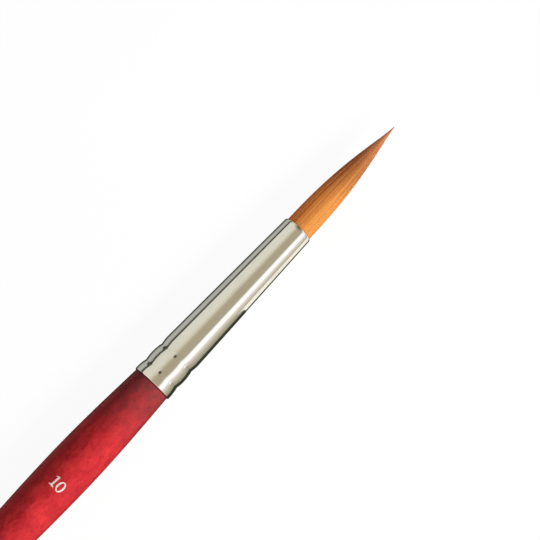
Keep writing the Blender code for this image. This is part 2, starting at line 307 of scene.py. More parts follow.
def crimp_depth(ferrule, place):
    """How deep the jaws press at a place along the brush."""
    depth = 0.0
    for crimp in (ferrule.first_crimp, ferrule.second_crimp):
        away = abs(place - BASE - crimp) / ferrule.crimp_half_width
        depth += ferrule.crimp_depth * max(0.0, 1.0 - away) ** ferrule.crimp_sharpness
    return depth


def crimps_end(ferrule):
    """Place where the crimps end, towards the hair."""
    return BASE + ferrule.second_crimp + ferrule.crimp_half_width


def tenon_radius(ferrule, place):
    """The tenon fills the crimped ferrule, less the clearance."""
    return bore_radius(ferrule, place) - crimp_depth(ferrule, place) - ferrule.clearance


def handle_stations(handle, ferrule):
    """Radius, place and slope where the handle's curves join: tail, taper, belly and neck."""
    belly = BASE - handle.belly_from_ferrule
    shoulder = BASE - ferrule.clearance
    return [
        (handle.butt_diameter / 2, handle.butt_dome, handle.tail_slope),
        (handle.taper_diameter / 2, belly - handle.taper_from_belly, handle.taper_slope),
        (handle.belly_diameter / 2, belly, 0.0),
        (tenon_radius(ferrule, shoulder) + handle.lacquer, shoulder, handle.neck_slope),
    ]


def handle_radius(handle, ferrule, place):
    """Radius of the handle behind the ferrule, on cubics through the stations."""
    stations = handle_stations(handle, ferrule)
    for (r0, z0, s0), (r1, z1, s1) in zip(stations, stations[1:]):
        if place <= z1 or (r1, z1, s1) == stations[-1]:
            t = (place - z0) / (z1 - z0)
            between = (2 * t**3 - 3 * t**2 + 1) * r0 + (3 * t**2 - 2 * t**3) * r1
            return between + ((t**3 - 2 * t**2 + t) * s0 + (t**3 - t**2) * s1) * (z1 - z0)


def tuft_width(tuft, u):
    """Width of the tuft at a share of its length, as a share of its width at the mouth."""
    return max(0.0, 1.0 - u**tuft.point_power) ** tuft.point_sharpness


# Meshes


def in_order(mesh):
    """Sorts points and faces, whose order would otherwise change from run to run."""
    for index, vert in enumerate(sorted(mesh.verts, key=lambda vert: vert.co[:])):
        vert.index = index
    mesh.verts.sort()  # by index
    by_points = sorted(mesh.faces, key=lambda face: sorted(vert.index for vert in face.verts))
    for index, face in enumerate(by_points):
        face.index = index
    mesh.faces.sort()


def spun(outline, sides, closed):
    """A bmesh turned from (radius, place) points; an open outline starts and ends on the axis."""
    mesh = bmesh.new()
    ring = [mesh.verts.new((radius, 0.0, place)) for radius, place in outline]
    edges = [mesh.edges.new(pair) for pair in zip(ring, ring[1:])]
    if closed:
        edges.append(mesh.edges.new((ring[-1], ring[0])))
    bmesh.ops.spin(
        mesh, geom=ring + edges, axis=(0, 0, 1), cent=(0, 0, 0), angle=math.tau, steps=sides, use_merge=True
    )
    bmesh.ops.remove_doubles(mesh, verts=mesh.verts, dist=MERGE)
    bmesh.ops.recalc_face_normals(mesh, faces=mesh.faces)
    in_order(mesh)
    return mesh


def as_object(name, mesh, material):
    """A smooth object at the origin, from a bmesh that is already in place."""
    data = bpy.data.meshes.new(name)
    mesh.to_mesh(data)
    mesh.free()
    data.shade_smooth()
    data.set_sharp_from_angle(angle=SHARP)
    data.materials.append(material)
    obj = bpy.data.objects.new(name, data)
    bpy.context.scene.collection.objects.link(obj)
    return obj


def as_piece(name, mesh, material):
    """A piece of the brush, laid down along X and riding on the only body."""
    bmesh.ops.transform(mesh, matrix=LAY_DOWN, verts=mesh.verts)
    piece = as_object(name, mesh, material)
    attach(piece, "root")
    return piece


# Nodes


def add(tree, kind, inputs=None, **choices):
    """A shader node with its choices made and its inputs set or linked."""
    node = tree.nodes.new("ShaderNode" + kind)
    for key, value in choices.items():
        setattr(node, key, value)
    for key, value in (inputs or {}).items():
        if isinstance(value, bpy.types.NodeSocket):
            tree.links.new(value, node.inputs[key])
        else:
            node.inputs[key].default_value = value
    return node


def bare_material(name):
    """A material and its tree, which has no nodes yet."""
    material = bpy.data.materials.new(name)
    material.use_nodes = True
    material.node_tree.nodes.clear()
    return material, material.node_tree


def new_finish(name, metallic, specular):
    """A material with a Principled shader, its tree and the shader."""
    material = bpy.data.materials.new(name)
    material.use_nodes = True
    shader = material.node_tree.nodes["Principled BSDF"]
    shader.inputs["Metallic"].default_value = metallic
    shader.inputs["Specular IOR Level"].default_value = specular
    return material, material.node_tree, shader


def object_place(tree, stretch=(1.0, 1.0, 1.0), shift=(0.0, 0.0, 0.0)):
    """Object coordinates, stretched along the frame's axes and then shifted."""
    place = add(tree, "TexCoord").outputs["Object"]
    return add(tree, "Mapping", {"Vector": place, "Scale": stretch, "Location": shift}).outputs["Vector"]


def layer(tree, name):
    """A value that the mesh carries at its points."""
    return add(tree, "Attribute", attribute_name=name).outputs["Fac"]


def reckon(tree, operation, *values):
    """The result of a Math node on some values."""
    return add(tree, "Math", dict(enumerate(values)), operation=operation).outputs["Value"]


def turn_round(tree):
    """Turn of the shaded place round the brush's axis, in radians."""
    place = object_place(tree, (1.0, -1.0, 1.0), (0.0, 0.0, -AXIS_Z))
    parts = add(tree, "SeparateXYZ", {0: place}).outputs
    return reckon(tree, "ARCTAN2", parts["Y"], parts["Z"])


def off_turn(tree, turn):
    """How far round the brush the shaded place lies from a turn, in radians."""
    return reckon(tree, "ABSOLUTE", reckon(tree, "SUBTRACT", turn_round(tree), turn))


def noise(tree, place, scale, detail=3.0, roughness=0.55):
    """A noise from 0 to 1."""
    inputs = {"Vector": place, "Scale": scale, "Detail": detail, "Roughness": roughness}
    return add(tree, "TexNoise", inputs).outputs["Fac"]


def spread(tree, value, low, high, to_low=0.0, to_high=1.0):
    """A value stretched from one range to another and kept inside it."""
    inputs = {"Value": value, "From Min": low, "From Max": high, "To Min": to_low, "To Max": to_high}
    return add(tree, "MapRange", inputs).outputs["Result"]


def times(tree, first, second):
    """The product of two values."""
    return reckon(tree, "MULTIPLY", first, second)


def blend(tree, factor, first, second):
    """A colour between two colours, each of them a socket or three numbers."""
    inputs = {"Factor": factor}
    for index, value in ((6, first), (7, second)):
        inputs[index] = value if isinstance(value, bpy.types.NodeSocket) else (*value, 1.0)
    return add(tree, "Mix", inputs, data_type="RGBA").outputs[2]


def coated(tree, shader, tone, rough):
    """Gives the shader its colour and its roughness."""
    tree.links.new(tone, shader.inputs["Base Color"])
    tree.links.new(rough, shader.inputs["Roughness"])


def bumped(tree, shader, height, distance, strength):
    """Gives the shader a bump of a real depth."""
    bump = add(tree, "Bump", {"Height": height, "Distance": distance, "Strength": strength})
    tree.links.new(bump.outputs["Normal"], shader.inputs["Normal"])


def lacquer_finish(handle):
    """Soft matt red lacquer, cloudy and a little rough, with painted shade on the side turned from the key
    light, towards the ferrule and in the corner at it.
    """
    material, tree, shader = new_finish("red_lacquer", metallic=0.0, specular=0.0)
    coat = {"Weight": 1.0, "IOR": 1.12, "Roughness": 0.2, "Tint": (0.68, 0.68, 0.68, 1.0)}
    for key, value in coat.items():
        shader.inputs["Coat " + key].default_value = value
    place = object_place(tree)
    clouds = noise(tree, object_place(tree, (0.6, 1.0, 1.0)), 420.0, 4.0, 0.62)
    mottles = noise(tree, object_place(tree, (0.8, 1.0, 1.0)), 750.0, 5.0, 0.7)
    specks = noise(tree, place, 3000.0, 2.0)
    tone = blend(tree, spread(tree, clouds, 0.32, 0.68, 0.25, 1.0), handle.deep, handle.bright)
    tone = blend(tree, spread(tree, mottles, 0.47, 0.66, 0.0, 0.75), tone, handle.deep)
    tone = blend(tree, spread(tree, specks, 0.5, 0.72, 0.0, 0.5), tone, handle.deep)
    # Painted shade on the side turned from the key light, broken up by the mottles.
    beside = spread(tree, off_turn(tree, handle.lacquer_shade_turn), handle.lacquer_shade_half_turn, 0.0)
    run = times(tree, beside, spread(tree, mottles, 0.35, 0.65, 0.1, 0.55))
    tone = blend(tree, run, tone, handle.thick)
    along = add(tree, "SeparateXYZ", {0: place}).outputs["X"]
    # Painted shade: the lacquer darkens towards the ferrule, where the key light falls off.
    near = spread(tree, along, BASE_X - handle.neck_shade_length, BASE_X)
    dulled = times(tree, near, spread(tree, mottles, 0.3, 0.7, 0.5, 1.0))
    tone = blend(tree, dulled, tone, handle.dusky)
    # Painted shade in the corner at the ferrule.
    corner = spread(tree, along, BASE_X - handle.grime_width, BASE_X - handle.grime_width / 3)
    tone = blend(tree, corner, tone, handle.grime)
    coated(tree, shader, tone, spread(tree, mottles, 0.3, 0.7, 0.38, 0.52))
    bumped(tree, shader, noise(tree, place, 3200.0, 3.0), 0.02 * MM, 0.35)
    return material


def nickel_finish(ferrule):
    """Polished warm nickel with faint lines from drawing and a few smudges, with a painted reflection at
    its lower edge and painted shade and reflection at its mouth.
    """
    material, tree, shader = new_finish("nickel_plate", metallic=1.0, specular=0.5)
    drawn = noise(tree, object_place(tree, (0.02, 1.0, 1.0)), 5200.0, 2.0)
    smudges = noise(tree, object_place(tree, (0.5, 1.0, 1.0)), 260.0, 4.0, 0.6)
    smudged = spread(tree, smudges, 0.48, 0.72)
    plate = blend(tree, smudged, ferrule.metal, ferrule.smudge)
    plate = blend(tree, spread(tree, layer(tree, "tarnish"), 0.12, 0.7), plate, ferrule.tarnish)
    along = add(tree, "SeparateXYZ", {0: object_place(tree)}).outputs["X"]
    # Painted reflection of the red handle on the eased edge at the handle.
    worn = spread(tree, along, BASE_X + 1.5 * ferrule.edge_length, BASE_X + 0.5 * ferrule.edge_length)
    plate = blend(tree, worn, plate, ferrule.bare)
    # Painted shade and reflection of the hair at the turned mouth, strongest on one side.
    near_hair = spread(tree, along, MOUTH_X - 1.4 * ferrule.mouth_turn, MOUTH_X - 0.5 * ferrule.mouth_turn)
    reach = ferrule.stain_half_turn
    beside = spread(tree, off_turn(tree, ferrule.stain_turn), reach, 0.35 * reach, 0.1, 1.0)
    plate = blend(tree, times(tree, near_hair, beside), plate, ferrule.stain)
    coated(tree, shader, plate, spread(tree, smudges, 0.3, 0.75, 0.06, 0.14))
    bumped(tree, shader, drawn, 0.0015 * MM, 0.6)
    return material


def filament_finish(tuft):
    """Dyed filaments, each in its own tone, that grow darker up to their paler ends; the tone holds painted
    shade on one side of the tuft.
    """
    material, tree, shader = new_finish("amber_filament", metallic=0.0, specular=0.1)
    streaks = noise(tree, object_place(tree, (0.05, 1.0, 1.0)), 2400.0, 2.0)
    past_middle = spread(tree, layer(tree, "past_change"), -0.13, 0.13)
    light = blend(tree, past_middle, tuft.root, tuft.tip)
    dark = blend(tree, past_middle, tuft.shade, tuft.tip_shade)
    dyed = blend(tree, spread(tree, layer(tree, "tone"), 0.38, 1.0, 0.0, 0.95), light, dark)
    dyed = blend(tree, spread(tree, layer(tree, "along"), 0.62, 1.0), dyed, tuft.end)
    coated(tree, shader, dyed, spread(tree, streaks, 0.3, 0.7, 0.45, 0.6))
    return material


def root_finish(tuft):
    """The packed middle of the hair, dark between the filaments."""
    material, tree, shader = new_finish("packed_hair", metallic=0.0, specular=0.2)
    streaks = noise(tree, object_place(tree, (0.04, 1.0, 1.0)), 3000.0, 3.0)
    packed = blend(tree, spread(tree, streaks, 0.3, 0.7, 0.2, 0.7), tuft.shade, tuft.root)
    coated(tree, shader, packed, spread(tree, streaks, 0.3, 0.7, 0.5, 0.7))
    return material


def foil_finish(settings):
    """Pressed silver foil, rubbed thin here and there."""
    material, tree, shader = new_finish("silver_foil", metallic=0.1, specular=0.5)
    rubs = noise(tree, object_place(tree), 2600.0, 3.0, 0.6)
    rubbed = spread(tree, rubs, 0.52, 0.78, 0.0, 0.8)
    foil = blend(tree, rubbed, settings.foil, settings.worn)
    coated(tree, shader, foil, spread(tree, rubs, 0.3, 0.7, 0.3, 0.5))
    return material


LINEN, LINEN_SHADE, LINEN_FIBRE = (0.74, 0.68, 0.53), (0.48, 0.41, 0.28), (0.40, 0.34, 0.23)
RESIN, THICK_RESIN = (0.70, 0.48, 0.15), (0.50, 0.30, 0.07)
GLUE, THICK_GLUE = (0.76, 0.70, 0.50), (0.64, 0.57, 0.37)


def thread_finish():
    """Undyed linen thread with its fibres' twist."""
    material, tree, shader = new_finish("linen_thread", metallic=0.0, specular=0.2)
    place = object_place(tree)
    inputs = {"Vector": place, "Scale": 900.0, "Distortion": 2.5}
    twist = add(tree, "TexWave", inputs, bands_direction="DIAGONAL").outputs["Fac"]
    fibres = noise(tree, place, 5200.0, 3.0)
    tone = blend(tree, twist, LINEN_SHADE, LINEN)
    tone = blend(tree, spread(tree, fibres, 0.5, 0.8, 0.0, 0.5), tone, LINEN_FIBRE)
    coated(tree, shader, tone, spread(tree, fibres, 0.3, 0.7, 0.78, 0.95))
    bumped(tree, shader, twist, 0.03 * MM, 0.5)
    return material


def poured_finish(name, thin, thick, rough):
    """A poured glue that shows flow marks and a few small bubbles."""
    material, tree, shader = new_finish(name, metallic=0.0, specular=0.5)
    place = object_place(tree)
    flow = noise(tree, place, 500.0, 4.0)
    bubbles = add(tree, "TexVoronoi", {"Vector": place, "Scale": 2200.0}).outputs["Distance"]
    pits = spread(tree, bubbles, 0.08, 0.22)
    tone = blend(tree, spread(tree, flow, 0.3, 0.7), thick, thin)
    tone = blend(tree, pits, tuple(part * 0.6 for part in thick), tone)
    coated(tree, shader, tone, spread(tree, flow, 0.3, 0.7, rough, rough + 0.15))
    bumped(tree, shader, pits, 0.03 * MM, 0.4)
    return material


# Pieces


def turn_handle(handle, ferrule):
    """Belly, long taper and rounded butt, with a tapered tenon that the crimps press into."""
    stations = handle_stations(handle, ferrule)
    dome, shoulder = stations[0][1], stations[-1][1]
    crimp_end = crimps_end(ferrule)
    outline = [(0.0, 0.0)]
    outline += quarter((handle.butt_flat / 2, 0.0), (handle.butt_diameter / 2, dome), DOME_STEPS)
    places = evenly(dome, shoulder, HANDLE_STEP)[1:]
    outline += [(handle_radius(handle, ferrule, place), place) for place in places]
    tenon = evenly(shoulder, crimp_end, 2 * CRIMP_STEP) + evenly(crimp_end, TENON_END, HANDLE_STEP)[1:]
    outline += [(tenon_radius(ferrule, place), place) for place in tenon]
    outline.append((0.0, TENON_END))
    return spun(outline, HANDLE_SIDES, closed=False)


def press_crimps(mesh, ferrule):
    """Presses the wall in under the jaws and leaves a pip, which tarnishes, between any two."""
    tarnish = mesh.verts.layers.float.new("tarnish")
    draw = random.Random(PIP_SEED)
    stains = [draw.uniform(0.1, 1.0) for pip in range(2 * ferrule.jaws)]
    step = math.tau / ferrule.jaws
    for vert in mesh.verts:
        depth = crimp_depth(ferrule, vert.co.z)
        if depth == 0.0:
            continue
        radius = math.hypot(vert.co.x, vert.co.y)
        turn = math.atan2(vert.co.y, vert.co.x) - ferrule.jaw_turn
        gap = round(turn / step)
        aside = (turn - gap * step) * radius / ferrule.pip_half_width
        place = vert.co.z - BASE - ferrule.pip_offset
        away = [abs(place - ferrule.first_crimp), abs(place - ferrule.second_crimp)]
        ring = away.index(min(away))
        pip = math.exp(-(aside**2) - (away[ring] / ferrule.pip_half_length) ** 2)
        vert[tarnish] = pip * stains[ring * ferrule.jaws + gap % ferrule.jaws]
        depth -= ferrule.pip_height * pip
        shrunk = (radius - depth) / radius
        vert.co.x *= shrunk
        vert.co.y *= shrunk


def form_ferrule(ferrule):
    """A thin cone with a turned-in mouth, an eased lower edge and two rings of crimps."""
    eased = BASE + ferrule.edge_length
    turn = MOUTH - ferrule.mouth_turn
    crimp_end = crimps_end(ferrule)
    wall = evenly(eased, crimp_end, CRIMP_STEP) + evenly(crimp_end, turn, WALL_STEP)[1:-1]
    lip = bore_radius(ferrule, MOUTH) + ferrule.mouth_lip
    rounded = quarter((lip, MOUTH), (cone_radius(ferrule, turn), turn), MOUTH_STEPS)
    outline = [(cone_radius(ferrule, BASE) - ferrule.edge_drop, BASE)]
    outline += [(cone_radius(ferrule, place), place) for place in wall]
    outline += reversed(rounded)
    bore = evenly(BASE, crimp_end, BORE_STEP) + [MOUTH]
    outline += [(bore_radius(ferrule, place), place) for place in bore[::-1]]
    mesh = spun(outline, FERRULE_SIDES, closed=True)
    press_crimps(mesh, ferrule)
    return mesh


def pack_root(tuft):
    """The hair's root, with a waist for the thread, and its packed middle above."""
    span = POINT - MOUTH
    low = HAIR_BUTT + tuft.binding_place
    high = low + tuft.binding_length
    waist = ROOT_RADIUS - tuft.binding_depth
    outline = [(0.0, HAIR_BUTT), (ROOT_RADIUS, HAIR_BUTT), (ROOT_RADIUS, low), (waist, low), (waist, high)]
    outline += [(ROOT_RADIUS, high), (ROOT_RADIUS, MOUTH - tuft.root_reach)]
    for step in range(ROOT_STEPS):
        u = step / ROOT_STEPS * tuft.core_end
        outline.append((ROOT_RADIUS * tuft.core_width * tuft_width(tuft, u), MOUTH + u * span))
    outline.append((0.0, MOUTH + tuft.core_end * span))
    return spun(outline, HANDLE_SIDES // 2, closed=False)


# Waves round the tuft: how many for each clump, how many more, phase and strength
TONE_WAVES = ((1, 0, 1.3, 0.12), (2, 3, 4.1, 0.15), (4, -5, 2.2, 0.06))
CHANGE_WAVES = ((1, 5, 0.9, 0.5), (2, 5, 3.3, 0.4), (5, 6, 0.4, 0.25))
MIDDLE_TONE = 0.5
# Painted shade and light: the tuft's side turned from the key light is darkened, and the other side
# lightened, by this much.
SHADE_SIDE_TONE = 0.36  # how far the tuft's two sides are from its middle tone
OWN_TONE = 0.2  # share of a filament's tone that isn't its clump's
BUNDLE_POWER = 6  # how late the bundle that makes the point sets in

Filament = namedtuple("Filament", "turn out end tone stray")


def waves(tuft, turn, table):
    """The waves of a table added up, at a turn round the tuft."""
    total = 0.0
    for each, more, phase, strength in table:
        total += strength * math.sin((each * tuft.clumps + more) * turn + phase)
    return total


def clump_tone_and_side_shade(tuft, turn):
    """Tone of the clump at a turn round the tuft, from 0 to 1, with painted shade on the tuft's side turned
    from the key light and painted light on the other.
    """
    return MIDDLE_TONE + SHADE_SIDE_TONE * math.cos(turn - tuft.tuft_shade_turn) + waves(tuft, turn, TONE_WAVES)


def clump_change(tuft, turn):
    """Share of the length where the clump at a turn round the tuft turns darker."""
    return tuft.change + tuft.change_spread * waves(tuft, turn, CHANGE_WAVES)


def filament_plan(tuft):
    """Turn, share of the way out, end, tone and stray of each filament in the tuft's outer shell."""
    draw = random.Random(HAIR_SEED)
    inside = tuft.shell**2
    plan = []
    for index in range(tuft.filaments):
        turn = index * GOLDEN_ANGLE
        out = math.sqrt(inside + (1.0 - inside) * (index + 0.5) / tuft.filaments)
        end = 1.0 - tuft.end_spread * draw.random() ** 2
        tone = (1.0 - OWN_TONE) * clump_tone_and_side_shade(tuft, turn) + OWN_TONE * draw.random()
        plan.append(Filament(turn, out, end, tone, draw.gauss(0.0, tuft.wander)))
    return plan


def grow_filaments(tuft):
    """Tapered filaments, grown level by level from small closed sections."""
    plan = filament_plan(tuft)
    mesh = bmesh.new()
    which, corner = [mesh.verts.layers.int.new(name) for name in ("filament", "corner")]
    along, past, tone = [mesh.verts.layers.float.new(name) for name in ("along", "past_change", "tone")]
    layers = (which, corner, along, past)
    for index, filament in enumerate(plan):
        made = bmesh.ops.create_circle(mesh, cap_ends=True, segments=FILAMENT_SIDES, radius=tuft.thickness)
        for side, vert in enumerate(made["verts"]):
            vert[which] = index
            vert[corner] = side
            vert[tone] = filament.tone
    tops = list(mesh.faces)
    place_sections(tuft, plan, tops, layers, 0.0)
    for level in range(1, FILAMENT_LEVELS + 1):
        tops = bmesh.ops.extrude_discrete_faces(mesh, faces=tops)["faces"]
        place_sections(tuft, plan, tops, layers, level / FILAMENT_LEVELS)
    open_edges = [edge for edge in mesh.edges if edge.is_boundary]
    bmesh.ops.holes_fill(mesh, edges=open_edges, sides=FILAMENT_SIDES)
    bmesh.ops.recalc_face_normals(mesh, faces=mesh.faces)
    return mesh


def place_sections(tuft, plan, faces, layers, grown):
    """Moves the newest sections of all filaments to a share of their filament's length."""
    which, corner, along, past = layers
    span = POINT - MOUTH
    inside = tuft.root_reach / span
    for face in faces:
        filament = plan[face.verts[0][which]]
        change = clump_change(tuft, filament.turn)
        u = grown * (filament.end + inside) - inside
        outside = max(0.0, u)
        width = tuft_width(tuft, outside)
        bundle = tuft.point_width / 2 * outside**BUNDLE_POWER
        radius = ((ROOT_RADIUS - tuft.thickness / 2) * width + bundle) * filament.out
        turn = filament.turn + filament.stray * outside
        thick = width**tuft.thinning * (1.0 - (outside / filament.end) ** tuft.tip_taper)
        size = (tuft.tip_thickness + (tuft.thickness - tuft.tip_thickness) * thick) / 2
        lean = tuft.lean * outside
        for vert in face.verts:
            facing = turn + math.tau * (vert[corner] + 0.5) / FILAMENT_SIDES
            vert.co.x = radius * math.cos(turn) + size * math.cos(facing)
            vert.co.y = radius * math.sin(turn) + size * math.sin(facing) - lean
            vert.co.z = MOUTH + u * span
            vert[along] = outside
            vert[past] = outside - change


def draw_one(mesh, settings, left):
    """A one with a slanted flag, a straight stem and a flat foot."""
    right = left + settings.one_width
    middle = left + settings.one_width / 2
    half = settings.stem / 2
    top, foot = settings.height / 2, -settings.height / 2
    serif, flag = settings.serif, settings.flag
    points = [
        (left, foot),
        (right, foot),
        (right, foot + serif * 0.7),
        (middle + half + serif * 0.4, foot + serif),
        (middle + half, foot + serif * 1.8),
        (middle + half, top),
        (middle - half * 0.2, top),
        (middle - half - flag, top - flag * 0.55),
        (middle - half - flag, top - flag * 0.55 - serif * 0.8),
        (middle - half, top - flag * 0.62),
        (middle - half, foot + serif * 1.8),
        (middle - half - serif * 0.4, foot + serif),
        (left, foot + serif * 0.7),
    ]
    mesh.faces.new([mesh.verts.new((x, y, 0.0)) for x, y in points])


def draw_zero(mesh, settings, left):
    """An upright oval ring, thick at the sides and thin at its ends."""
    middle = left + settings.zero_width / 2
    rims = []
    for half_width, half_height in (
        (settings.zero_width / 2, settings.height / 2),
        (settings.zero_width / 2 - settings.zero_side, settings.height / 2 - settings.zero_end),
    ):
        made = bmesh.ops.create_circle(mesh, segments=ZERO_SIDES, radius=1.0)["verts"]
        bmesh.ops.scale(mesh, vec=(half_width, half_height, 1.0), verts=made)
        bmesh.ops.translate(mesh, vec=(middle, 0.0, 0.0), verts=made)
        rims += dict.fromkeys(edge for vert in made for edge in vert.link_edges)
    bmesh.ops.bridge_loops(mesh, edges=rims)


def press_number(settings, handle, ferrule):
    """The two digits, cut fine enough to bend round the handle, thickened and laid on its surface."""
    mesh = bmesh.new()
    width = settings.one_width + settings.gap + settings.zero_width
    draw_one(mesh, settings, -width / 2)
    draw_zero(mesh, settings, width / 2 - settings.zero_width)
    for cut in evenly(-width / 2, width / 2, DIGIT_CUT)[1:-1]:
        everything = list(mesh.verts) + list(mesh.edges) + list(mesh.faces)
        bmesh.ops.bisect_plane(mesh, geom=everything, dist=MERGE, plane_co=(cut, 0, 0), plane_no=(1, 0, 0))
    bmesh.ops.recalc_face_normals(mesh, faces=mesh.faces)
    grown = bmesh.ops.extrude_face_region(mesh, geom=list(mesh.faces), use_keep_orig=True)["geom"]
    top = [part for part in grown if isinstance(part, bmesh.types.BMVert)]
    bmesh.ops.translate(mesh, vec=(0, 0, settings.thickness + settings.sunk), verts=top)
    middle = BASE - settings.from_ferrule
    for vert in mesh.verts:
        place = middle + vert.co.y * math.cos(settings.askew) + vert.co.x * math.sin(settings.askew)
        across = vert.co.x * math.cos(settings.askew) - vert.co.y * math.sin(settings.askew)
        surface = handle_radius(handle, ferrule, place)
        turn = settings.turn + across / surface
        radius = surface - settings.sunk + vert.co.z
        vert.co = (radius * math.cos(turn), radius * math.sin(turn), place)
    bmesh.ops.recalc_face_normals(mesh, faces=mesh.faces)
    in_order(mesh)
    return mesh


class ROUND_BRUSH_OT_handle(bpy.types.Operator):
    """Turn the handle and lacquer it"""

    bl_idname = "round_brush.handle"
    bl_label = "Handle"

    def execute(self, context):
        handle = context.scene.brush_handle
        mesh = turn_handle(handle, context.scene.brush_ferrule)
        piece = as_piece("lacquered_handle", mesh, lacquer_finish(handle))
        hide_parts("handle")
        return {"FINISHED"}


class ROUND_BRUSH_OT_ferrule(bpy.types.Operator):
    """Form the ferrule, turn in its mouth and press its crimps"""

    bl_idname = "round_brush.ferrule"
    bl_label = "Ferrule"

    def execute(self, context):
        ferrule = context.scene.brush_ferrule
        piece = as_piece("crimped_ferrule", form_ferrule(ferrule), nickel_finish(ferrule))
        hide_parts("ferrule")
        return {"FINISHED"}


class ROUND_BRUSH_OT_tuft(bpy.types.Operator):
    """Pack the root of the hair and grow its filaments"""

    bl_idname = "round_brush.tuft"
    bl_label = "Hair"

    def execute(self, context):
        tuft = context.scene.brush_tuft
        root = as_piece("hair_root", pack_root(tuft), root_finish(tuft))
        mesh = grow_filaments(tuft)
        hair = as_piece("hair_filaments", mesh, filament_finish(tuft))
        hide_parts("hair_tuft")
        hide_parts("hair_tuft")
        return {"FINISHED"}


class ROUND_BRUSH_OT_number(bpy.types.Operator):
    """Press the foil size number on the handle"""

    bl_idname = "round_brush.number"
    bl_label = "Size Number"

    def execute(self, context):
        scene = context.scene
        settings = scene.brush_number
        mesh = press_number(settings, scene.brush_handle, scene.brush_ferrule)
        as_piece("size_number", mesh, foil_finish(settings))
        return {"FINISHED"}


class ROUND_BRUSH_OT_bonds(bpy.types.Operator):
    """Finish the thread, the resin and the glue inside the ferrule"""

    bl_idname = "round_brush.bonds"
    bl_label = "Thread and Glue"

    def execute(self, context):
        finishes = {
            "binding_thread": thread_finish(),
            "root_adhesive": poured_finish("cured_resin", RESIN, THICK_RESIN, 0.15),
            "tenon_glue": poured_finish("wood_glue", GLUE, THICK_GLUE, 0.35),
        }
        for node, material in finishes.items():
            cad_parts[node].data.materials.clear()
            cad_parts[node].data.materials.append(material)
        return {"FINISHED"}


# Studio

FLOOR_HALF = 4.0
FLOOR_DROP = 0.04 * MM
TENT_RADIUS = 0.9
TENT_ENDS = (-0.45, 3.0)  # along the frame's X axis
TENT_STEPS = 64
MAT_HALF = 1.2  # half the length of a mat
MAT_HEIGHT = 0.02 * MM
MAT_GAP = 1 * MM  # from the brush's axis to the mats and the white card
CARD_REACH = 60 * MM  # from the brush's axis to the far edge of the white card
NARROW_MAT = (-10.7 * MM, -5.8 * MM)  # edges, along the frame's Y axis
CARD_SPREAD = math.radians(80)

# Radiance of the studio round the brush's axis, by turn in degrees from straight up towards -Y
TENT_BANDS = (
    (-180, (0.05, 0.05, 0.05)),
    (-119, (0.07, 0.07, 0.06)),
    (-113, (0.48, 0.49, 0.47)),
    (-99, (0.54, 0.55, 0.53)),
    (-93, (0.42, 0.43, 0.40)),
    (-90, (0.06, 0.06, 0.05)),
    (-81, (0.06, 0.06, 0.05)),
    (-78, (0.84, 0.84, 0.75)),
    (-36, (0.86, 0.85, 0.76)),
    (-23, (0.78, 0.74, 0.62)),
    (-10, (0.55, 0.51, 0.38)),
    (-4, (0.51, 0.45, 0.33)),
    (26, (0.50, 0.44, 0.34)),
    (33, (0.54, 0.49, 0.41)),
    (41, (1.28, 1.30, 1.38)),
    (60, (1.28, 1.30, 1.38)),
    (67, (0.95, 0.90, 0.86)),
    (75, (0.81, 0.76, 0.71)),
    (90, (0.60, 0.57, 0.44)),
    (101, (0.42, 0.41, 0.32)),
    (106, (0.34, 0.33, 0.26)),
    (108, (0.05, 0.05, 0.04)),
    (180, (0.05, 0.05, 0.04)),
)


def staged(name, mesh, material):
    """An object of the studio, which isn't part of the brush."""
    obj = as_object(name, mesh, material)
    return obj


def seen_directly(tree):
    """1 on rays from the camera, from reflections and through glass, else 0."""
    path = add(tree, "LightPath").outputs
    seen = path["Is Camera Ray"]
    for kind in ("Is Glossy Ray", "Is Transmission Ray"):
        seen = reckon(tree, "MAXIMUM", seen, path[kind])
    return seen


def lay_floor(studio):
    """A pale floor that looks white but keeps the shadow."""
    material, tree = bare_material("pale_floor")
    matt = add(tree, "BsdfDiffuse", {"Color": (*studio.floor, 1.0)}).outputs["BSDF"]
    white = add(tree, "Emission", {"Color": WHITE}).outputs["Emission"]
    lit = times(tree, seen_directly(tree), 1.0 - studio.shadow)
    mixed = add(tree, "MixShader", {0: lit, 1: matt, 2: white})
    add(tree, "OutputMaterial", {"Surface": mixed.outputs["Shader"]})
    mesh = bmesh.new()
    bmesh.ops.create_grid(mesh, x_segments=1, y_segments=1, size=FLOOR_HALF)
    bmesh.ops.translate(mesh, vec=(0, 0, -FLOOR_DROP), verts=mesh.verts)
    staged("pale_floor", mesh, material)


def glow(name):
    """A material that glows in reflections but isn't a lamp, and its colour's socket."""
    material, tree = bare_material(name)
    material.cycles.emission_sampling = "NONE"
    emission = add(tree, "Emission")
    add(tree, "OutputMaterial", {"Surface": emission.outputs["Emission"]})
    return material, emission.inputs["Color"]


def tent_finish():
    """Glows with the bands, by the turn round the brush's axis."""
    material, colour_in = glow("reflected_bands")
    tree = material.node_tree
    ramp = add(tree, "ValToRGB", {"Fac": spread(tree, turn_round(tree), -math.pi, math.pi)})
    stops = ramp.color_ramp.elements
    while len(stops) < len(TENT_BANDS):
        stops.new(0.5)
    for stop, (degrees, radiance) in zip(stops, TENT_BANDS):
        stop.position = degrees / 360 + 0.5
        stop.color = (*radiance, 1.0)
    tree.links.new(ramp.outputs["Color"], colour_in)
    return material


def only_reflected(obj):
    """Keeps an object out of everything but reflections."""
    for ray in ("camera", "diffuse", "transmission", "volume_scatter", "shadow"):
        setattr(obj, "visible_" + ray, False)


